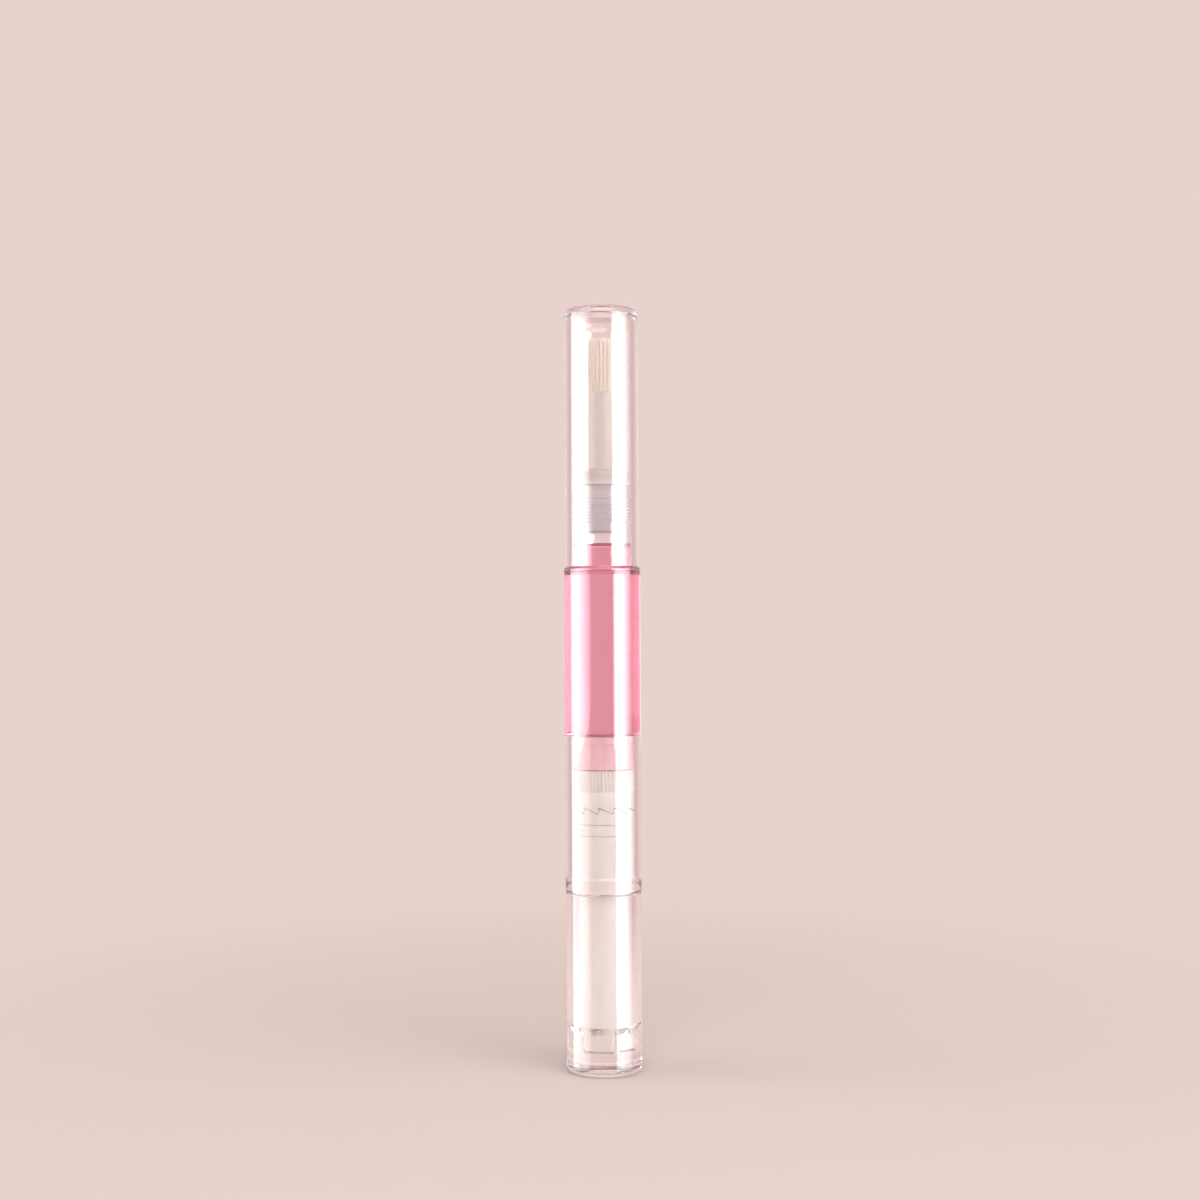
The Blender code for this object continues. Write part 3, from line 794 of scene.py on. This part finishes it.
class PEN_OT_oil(bpy.types.Operator):
    """Make the pink oil that fills the barrel up to the brush holder's plug"""

    bl_idname = "pen.oil"
    bl_label = "Oil"

    def execute(self, context):
        sizes = context.scene.pen_shells
        piston_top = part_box("piston")[1].z
        barrel_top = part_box("barrel")[1].z
        plug_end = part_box("brush_holder")[0].z
        wet = 0.02 * MM  # the oil reaches this far into the plastic, so no air shows between them
        bore = half_width("barrel") - sizes.barrel_wall + wet
        neck_bore = sizes.neck_radius - sizes.neck_wall + wet
        bore_top = barrel_top - sizes.neck_length - sizes.shoulder_wall
        bottom = piston_top + wet
        dish = bore - 0.75 * MM
        dish_floor = bottom - DISH_DEPTH
        top = plug_end - 2.35 * MM
        outline = [
            (0, dish_floor),
            (dish, dish_floor, 0.1 * MM),
            (bore - LIP_WIDTH, bottom),
            (bore, bottom),
            (bore, bore_top - SHOULDER_SLOPE + wet),
            (bore - SHOULDER_SLOPE, bore_top + wet),
            (neck_bore, bore_top + wet),
            (neck_bore, top + 0.65 * MM),  # the oil's top climbs the neck's wall
            (neck_bore - 0.3 * MM, top + 0.25 * MM, 0.2 * MM),
            (neck_bore - 1.0 * MM, top + 0.05 * MM, 0.3 * MM),
            (0, top),
        ]
        # A dyed plant oil, clear and thick. It lies against the wall as one lens, so it shows as a bright
        # pink bar with deeper edges. The dye, which takes out green and some blue, drifts in it in broad,
        # faint clouds.
        material, tree, shader = new_material(
            "dyed cuticle oil", Roughness=0.0, IOR=1.47, Transmission_Weight=1.0
        )
        drift = clouds(tree, across_mm=4, along_mm=9, detail=1.0)
        red, green, blue = context.scene.pen_finishes.oil
        dye = add_node(
            tree,
            "ShaderNodeMix",
            {"data_type": "RGBA"},
            Factor=drift.outputs[0],
            i6=(red, green * 0.97, blue * 0.98, 1),
            i7=(red, green * 1.03, blue * 1.02, 1),
        )
        tree.links.new(dye.outputs[2], shader.inputs["Base Color"])
        made = add_piece("oil_column", turned(outline), material, "barrel", "oil_fill", slot="pink_oil")
        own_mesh(made)
        return {"FINISHED"}


class PEN_OT_brush_holder(bpy.types.Operator):
    """Make the milky brush holder with its sealing rings and feed channel"""

    bl_idname = "pen.brush_holder"
    bl_label = "Brush Holder"

    def execute(self, context):
        brush = context.scene.pen_brush
        shells = context.scene.pen_shells
        low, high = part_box("brush_holder")
        flange_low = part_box("barrel")[1].z + shells.snug
        flange_high = flange_low + 2.1 * MM
        flange = shells.neck_radius - 0.15 * MM
        seal = shells.neck_radius - shells.neck_wall + 0.01 * MM
        plug = seal - 0.12 * MM
        first_seal = low.z + 1.5 * MM
        seal_pitch = 0.5 * MM
        foot_half = 0.23 * MM
        crest_half = 0.17 * MM
        socket = brush.stem_radius - 0.2 * MM
        socket_floor = high.z - 1.9 * MM
        feed_mouth = 0.95 * MM
        feed_taper = 1.2 * MM
        outline = [(plug, low.z, 0.35 * MM)]
        for number in range(brush.seal_count):
            middle = first_seal + number * seal_pitch
            outline += [
                (plug, middle - foot_half),
                (seal, middle - crest_half),
                (seal, middle + crest_half),
                (plug, middle + foot_half),
            ]
        outline += [
            (plug, flange_low),
            (flange, flange_low, 0.12 * MM),
            (flange, flange_high, 0.3 * MM),
            (brush.stem_radius, flange_high, 0.5 * MM),
            (brush.stem_radius, high.z, 0.06 * MM),
            (socket, high.z),
            (socket, socket_floor),
            (brush.feed_radius, socket_floor),
            (brush.feed_radius, low.z + feed_taper),
            (feed_mouth, low.z),
        ]
        # Flange and stem look a little grey; the plug below is painted whiter in place of light the clear
        # walls take.
        tint = context.scene.pen_finishes.holder
        material = milky_resin("moulded polypropylene holder", tint, roughness=0.3, glow=0.3)
        tree = material.node_tree
        place = add_node(tree, "ShaderNodeTexCoord")
        rise = add_node(tree, "ShaderNodeSeparateXYZ", i0=place.outputs["Object"])
        # Painted light: 1 below the flange, where the plug's colour is mixed towards white to make it look
        # brighter.
        painted_light_share = add_node(
            tree, "ShaderNodeMapRange", i0=rise.outputs["Z"], i1=flange_low + MM, i2=flange_low - MM
        )
        cloud = tree.nodes["Mix"].outputs[2]
        painted_lighter_plug = add_node(
            tree, "ShaderNodeMix", {"data_type": "RGBA"}, Factor=painted_light_share.outputs[0], i6=cloud, i7=(1, 1, 1, 1)
        )
        tree.links.new(painted_lighter_plug.outputs[2], tree.nodes["Principled BSDF"].inputs["Base Color"])
        add_piece("holder_fine", turned(outline), material, "barrel", "brush_holder", slot="milky_holder")
        return {"FINISHED"}


class PEN_OT_bristles(bpy.types.Operator):
    """Make the tuft of nylon filaments"""

    bl_idname = "pen.bristles"
    bl_label = "Bristles"

    def execute(self, context):
        brush = context.scene.pen_brush
        low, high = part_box("bristles")
        stem_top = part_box("brush_holder")[1].z
        root = stem_top - 0.45 * MM
        slice_radius = brush.stem_radius - 0.26 * MM
        jitter = 0.02 * MM  # how far a filament stands off its place
        crown = 0.2 * MM  # how much lower the outermost filaments end
        uneven = 0.25 * MM  # how much filaments differ in length
        chance = random.Random(11)
        curve = bpy.data.curves.new("strands", "CURVE")
        curve.dimensions = "3D"
        curve.bevel_depth = brush.strand_radius
        curve.bevel_resolution = 1
        curve.use_fill_caps = True
        rows = math.ceil(slice_radius / brush.strand_pitch) + 1
        row_pitch = brush.strand_pitch * math.sin(math.radians(60))
        tip_share = brush.stem_radius / slice_radius
        # Shares of a filament's height, and how far it has spread there.
        heights = (0, 0.06, 0.12, 0.4, 0.7, 0.9, 1.0)
        spreads = (0, 0.15, 0.85, 1.0, 1.0, 1.0, 0.98)
        # Above this share of its height, a filament thins at this rate.
        taper_from = 0.85
        taper_rate = 3.5
        for row in range(-rows, rows + 1):
            for column in range(-rows * 2, rows * 2 + 1):
                x = (column + row / 2) * brush.strand_pitch + chance.uniform(-jitter, jitter)
                y = row * row_pitch + chance.uniform(-jitter, jitter)
                radius = math.hypot(x, y)
                if radius > slice_radius - brush.strand_radius:
                    continue
                lean = chance.uniform(0, math.tau)
                sway = chance.uniform(0.02, 0.08) * MM
                tip = high.z - crown * (radius / slice_radius) ** 2 - chance.uniform(0, uneven)
                spline = curve.splines.new("POLY")
                spline.points.add(len(heights) - 1)
                for point, share, spread in zip(spline.points, heights, spreads):
                    scale = 1 + (tip_share - 1) * spread
                    drift = sway * math.sin(share * math.pi) ** 2
                    point.co = (
                        x * scale + drift * math.cos(lean),
                        y * scale + drift * math.sin(lean),
                        root + (tip - root) * share,
                        1,
                    )
                    point.radius = 1 - max(0, share - taper_from) * taper_rate
        strands = bpy.data.objects.new("strands", curve)
        bpy.context.scene.collection.objects.link(strands)
        graph = context.evaluated_depsgraph_get()
        shape = bpy.data.meshes.new_from_object(strands.evaluated_get(graph))
        mesh = bmesh.new()
        mesh.from_mesh(shape)
        bpy.data.meshes.remove(shape)
        bpy.data.objects.remove(strands, do_unlink=True)
        bpy.data.curves.remove(curve)
        slice_top = root + 0.02 * MM
        root_slice = turned(
            [(0, low.z), (slice_radius, low.z), (slice_radius, slice_top), (0, slice_top)], columns=48
        )
        held = bpy.data.meshes.new("slice")
        root_slice.to_mesh(held)
        root_slice.free()
        mesh.from_mesh(held)
        bpy.data.meshes.remove(held)
        # Drawn nylon is half clear and satin, so the filaments catch light along their length, and each
        # has a tone of its own. The tone changes every 0.15 mm across the tuft, which is drawn a little
        # coarser than one filament so that it shows, and every 6 mm along it.
        material, tree, shader = new_material("drawn nylon filament", Roughness=0.42, IOR=1.53)
        darker = 0.88
        lighter = 1.06
        grain = clouds(tree, across_mm=0.15, along_mm=6, detail=1.0)
        nylon = context.scene.pen_finishes.nylon
        tone = add_node(
            tree,
            "ShaderNodeMix",
            {"data_type": "RGBA"},
            Factor=grain.outputs[0],
            i6=(*[part * darker for part in nylon], 1),
            i7=(*[min(1, part * lighter) for part in nylon], 1),
        )
        tree.links.new(tone.outputs[2], shader.inputs["Base Color"])
        add_piece("bristle_tuft", mesh, material, "barrel", "bristles", slot="cream_nylon")
        return {"FINISHED"}


class PEN_OT_stage(bpy.types.Operator):
    """Make the floor, the backdrop, the lamps and the camera"""

    bl_idname = "pen.stage"
    bl_label = "Stage"

    def execute(self, context):
        scene = context.scene
        tint = scene.pen_finishes.backdrop
        floor = scene.pen_finishes.paint
        scene.view_settings.view_transform = "Standard"
        # Light passes many clear walls and is thrown about inside them, so it may bounce often.
        scene.cycles.max_bounces = 32
        scene.cycles.diffuse_bounces = 12
        scene.cycles.glossy_bounces = 24
        scene.cycles.transmission_bounces = 32
        # In metres, the stage's size: a round floor that curves up into a wall.
        floor_reach = 1.6
        curve_back = 0.5
        wall_reach = 1.7
        wall_height = 1.8
        sweep = turned([(0, 0), (floor_reach, 0, curve_back), (wall_reach, wall_height)], steps=12)
        data = bpy.data.meshes.new("sweep")
        sweep.to_mesh(data)
        sweep.free()
        data.shade_smooth()
        # Matt paint on a curved sheet: an even pale ground without a horizon, which keeps the pen's shadow.
        material = bpy.data.materials.new("painted studio sweep")
        material.use_nodes = True
        tree = material.node_tree
        tree.nodes.clear()
        place = add_node(tree, "ShaderNodeTexCoord")
        reach = add_node(tree, "ShaderNodeVectorMath", {"operation": "LENGTH"}, i0=place.outputs["Object"])
        # Lit paint round the pen, for its shadow, which passes into the even ground further out.
        lit_to = 0.05
        even_from = 0.16
        fade = add_node(
            tree, "ShaderNodeMapRange", i0=reach.outputs["Value"], i1=lit_to, i2=even_from
        )
        rays = add_node(tree, "ShaderNodeLightPath")
        seen = plainly_seen(tree, rays)
        flat_share = add_node(tree, "ShaderNodeMath", {"operation": "MULTIPLY"}, i0=fade.outputs[0], i1=seen)
        paint = add_node(tree, "ShaderNodeBsdfDiffuse", Color=(*floor, 1))
        # A darker panel stands at each side, a little behind the pen. Only clear walls, which bend the
        # sight round to it, show it, and the ground is pale in plain view. The numbers are sines of the
        # turn from the pen's side towards its back.
        panel_middle = 0.62
        panel_edge = 0.34
        panel_core = 0.22
        facing = add_node(
            tree, "ShaderNodeVectorMath", {"operation": "NORMALIZE"}, i0=place.outputs["Object"]
        )
        facing = add_node(tree, "ShaderNodeSeparateXYZ", i0=facing.outputs[0])
        off = add_node(
            tree, "ShaderNodeMath", {"operation": "SUBTRACT"}, i0=facing.outputs["Y"], i1=panel_middle
        )
        off = add_node(tree, "ShaderNodeMath", {"operation": "ABSOLUTE"}, i0=off.outputs[0])
        panelled = add_node(tree, "ShaderNodeMapRange", i0=off.outputs[0], i1=panel_edge, i2=panel_core)
        panelled = add_node(
            tree,
            "ShaderNodeMath",
            {"operation": "MULTIPLY"},
            i0=panelled.outputs[0],
            i1=rays.outputs["Is Transmission Ray"],
        )
        toned = add_node(
            tree,
            "ShaderNodeMix",
            {"data_type": "RGBA"},
            Factor=panelled.outputs[0],
            i6=(*tint, 1),
            i7=(*scene.pen_finishes.panel, 1),
        )
        glow = add_node(tree, "ShaderNodeEmission", Color=toned.outputs[2], Strength=1.0)
        mix = add_node(
            tree, "ShaderNodeMixShader", i0=flat_share.outputs[0], i1=paint.outputs[0], i2=glow.outputs[0]
        )
        add_node(tree, "ShaderNodeOutputMaterial", Surface=mix.outputs[0])
        data.materials.append(material)
        made = bpy.data.objects.new("sweep", data)
        scene.collection.objects.link(made)
        # The pen's gloss shows the softboxes and the studio's light, not the sweep.
        made.visible_glossy = False

        world = bpy.data.worlds.new("studio")
        world.use_nodes = True
        tree = world.node_tree
        tree.nodes.clear()
        rays = add_node(tree, "ShaderNodeLightPath")
        seen = plainly_seen(tree, rays)
        # Pieces behind several clear walls get the light back that the walls take.
        open_light = 0.9
        light_per_wall = 0.2
        made_up = add_node(
            tree,
            "ShaderNodeMath",
            {"operation": "MULTIPLY_ADD"},
            i0=rays.outputs["Transmission Depth"],
            i1=light_per_wall,
            i2=open_light,
        )
        fill = add_node(tree, "ShaderNodeBackground", Color=(1, 1, 1, 1), Strength=made_up.outputs[0])
        back = add_node(tree, "ShaderNodeBackground", Color=(*tint, 1), Strength=1.0)
        mix = add_node(tree, "ShaderNodeMixShader", i0=seen, i1=fill.outputs[0], i2=back.outputs[0])
        add_node(tree, "ShaderNodeOutputWorld", Surface=mix.outputs[0])
        scene.world = world

        # Each softbox faces the pen from a turn and a rise in degrees. Near and far are its reach to each
        # side of that line in metres, and spread is how wide its grid throws light, in degrees.
        distance = 0.6
        height = 0.5
        middle = Vector((0, 0, 0.04))
        for name, turn, rise, near, far, spread, radiance in (
            ("left softbox", -90, 0, 0.83, 0.21, 108, 7.5),
            ("right softbox", 55, 0, 0.19, 0.58, 88, 10.5),
            ("high softbox", 10, 46, 0.3, 0.3, 180, 2.2),
        ):
            lamp = bpy.data.lights.new(name, "AREA")
            lamp.shape = "RECTANGLE"
            lamp.size = near + far
            lamp.size_y = height
            lamp.spread = math.radians(spread)
            # A narrower grid would make the face brighter, so the power is cut to keep the radiance.
            grid = 1 - lamp.spread / 2 / math.tan(lamp.spread / 2)
            lamp.energy = radiance * math.pi * lamp.size * height * grid
            holder = bpy.data.objects.new(name, lamp)
            aim = Matrix.Rotation(math.radians(turn), 4, "Z") @ Matrix.Rotation(math.radians(-rise), 4, "X")
            spot = middle + aim @ Vector((0, -distance, 0))
            side = math.copysign(0.5, turn) * (far - near)
            holder.location = spot + aim @ Vector((side, 0, 0))
            holder.rotation_euler = (middle - spot).to_track_quat("-Z", "Y").to_euler()
            holder.visible_camera = False
            scene.collection.objects.link(holder)

        # Fitted to the photograph: where it was taken from, how wide it sees and how the pen leans.
        camera = bpy.data.cameras.new("camera")
        camera.angle = math.radians(35.4)
        camera.clip_start = 0.01
        eye = bpy.data.objects.new("camera", camera)
        eye.location = (-0.32 * MM, -281.6 * MM, 70.4 * MM)
        eye.rotation_euler = (math.radians(90), math.radians(0.31), 0)
        scene.collection.objects.link(eye)
        scene.camera = eye
        return {"FINISHED"}


class PEN_PT_parts(bpy.types.Panel):
    """Lists the pen's pieces"""

    bl_idname = "PEN_PT_parts"
    bl_label = "Oil Pen"
    bl_space_type = "VIEW_3D"
    bl_region_type = "UI"
    bl_category = "Oil Pen"

    def draw(self, context):
        for operator in OPERATORS:
            self.layout.operator(operator.bl_idname)
        for attribute, group in GROUPS.items():
            for name in group.__annotations__:
                self.layout.prop(getattr(context.scene, attribute), name)


GROUPS = {
    "pen_shells": ShellSizes,
    "pen_drive": DriveSizes,
    "pen_brush": BrushSizes,
    "pen_finishes": Finishes,
}
OPERATORS = (
    PEN_OT_cap,
    PEN_OT_barrel,
    PEN_OT_knob,
    PEN_OT_drive_core,
    PEN_OT_ratchet,
    PEN_OT_screw_rod,
    PEN_OT_piston,
    PEN_OT_oil,
    PEN_OT_brush_holder,
    PEN_OT_bristles,
    PEN_OT_stage,
)


def register():
    for item in (*GROUPS.values(), *OPERATORS, PEN_PT_parts):
        bpy.utils.register_class(item)
    for name, group in GROUPS.items():
        setattr(bpy.types.Scene, name, bpy.props.PointerProperty(type=group))


def unregister():
    for name in GROUPS:
        delattr(bpy.types.Scene, name)
    for item in reversed((*GROUPS.values(), *OPERATORS, PEN_PT_parts)):
        bpy.utils.unregister_class(item)


def main():
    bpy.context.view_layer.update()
    register()
    bpy.ops.pen.stage()
    bpy.ops.pen.cap()
    bpy.ops.pen.barrel()
    bpy.ops.pen.knob()
    bpy.ops.pen.drive_core()
    bpy.ops.pen.ratchet()
    bpy.ops.pen.screw_rod()
    bpy.ops.pen.piston()
    bpy.ops.pen.oil()
    bpy.ops.pen.brush_holder()
    bpy.ops.pen.bristles()


if __name__ == "__main__":
    main()
